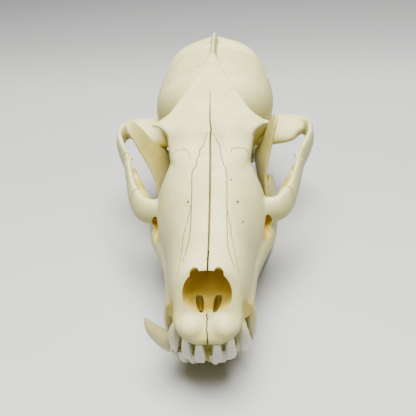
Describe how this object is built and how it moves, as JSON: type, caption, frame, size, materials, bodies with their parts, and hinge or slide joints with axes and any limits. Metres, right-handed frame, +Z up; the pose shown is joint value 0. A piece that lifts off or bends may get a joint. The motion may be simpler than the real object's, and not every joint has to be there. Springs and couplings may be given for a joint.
{
  "type": "raccoon dog skull",
  "caption": "Life-size skull of a raccoon dog with its loose lower jaw in place, resting on the jaw's lower borders.",
  "frame": {"origin": "on the resting plane, in the skull's midplane, halfway along the skull", "axes": "+X to the animal's left, +Y from the snout to the back of the head, +Z up"},
  "size_m": [0.0694, 0.1231, 0.0598],
  "materials": {
    "bone": "satin dry bone",
    "jaw_bone": "satin dry bone, a little yellower"
  },
  "bodies": {
    "root": {"cranium": "bone", "jugal_left": "bone", "jugal_right": "bone", "mandible_left": "jaw_bone", "mandible_right": "jaw_bone"}
  },
  "joints": []
}
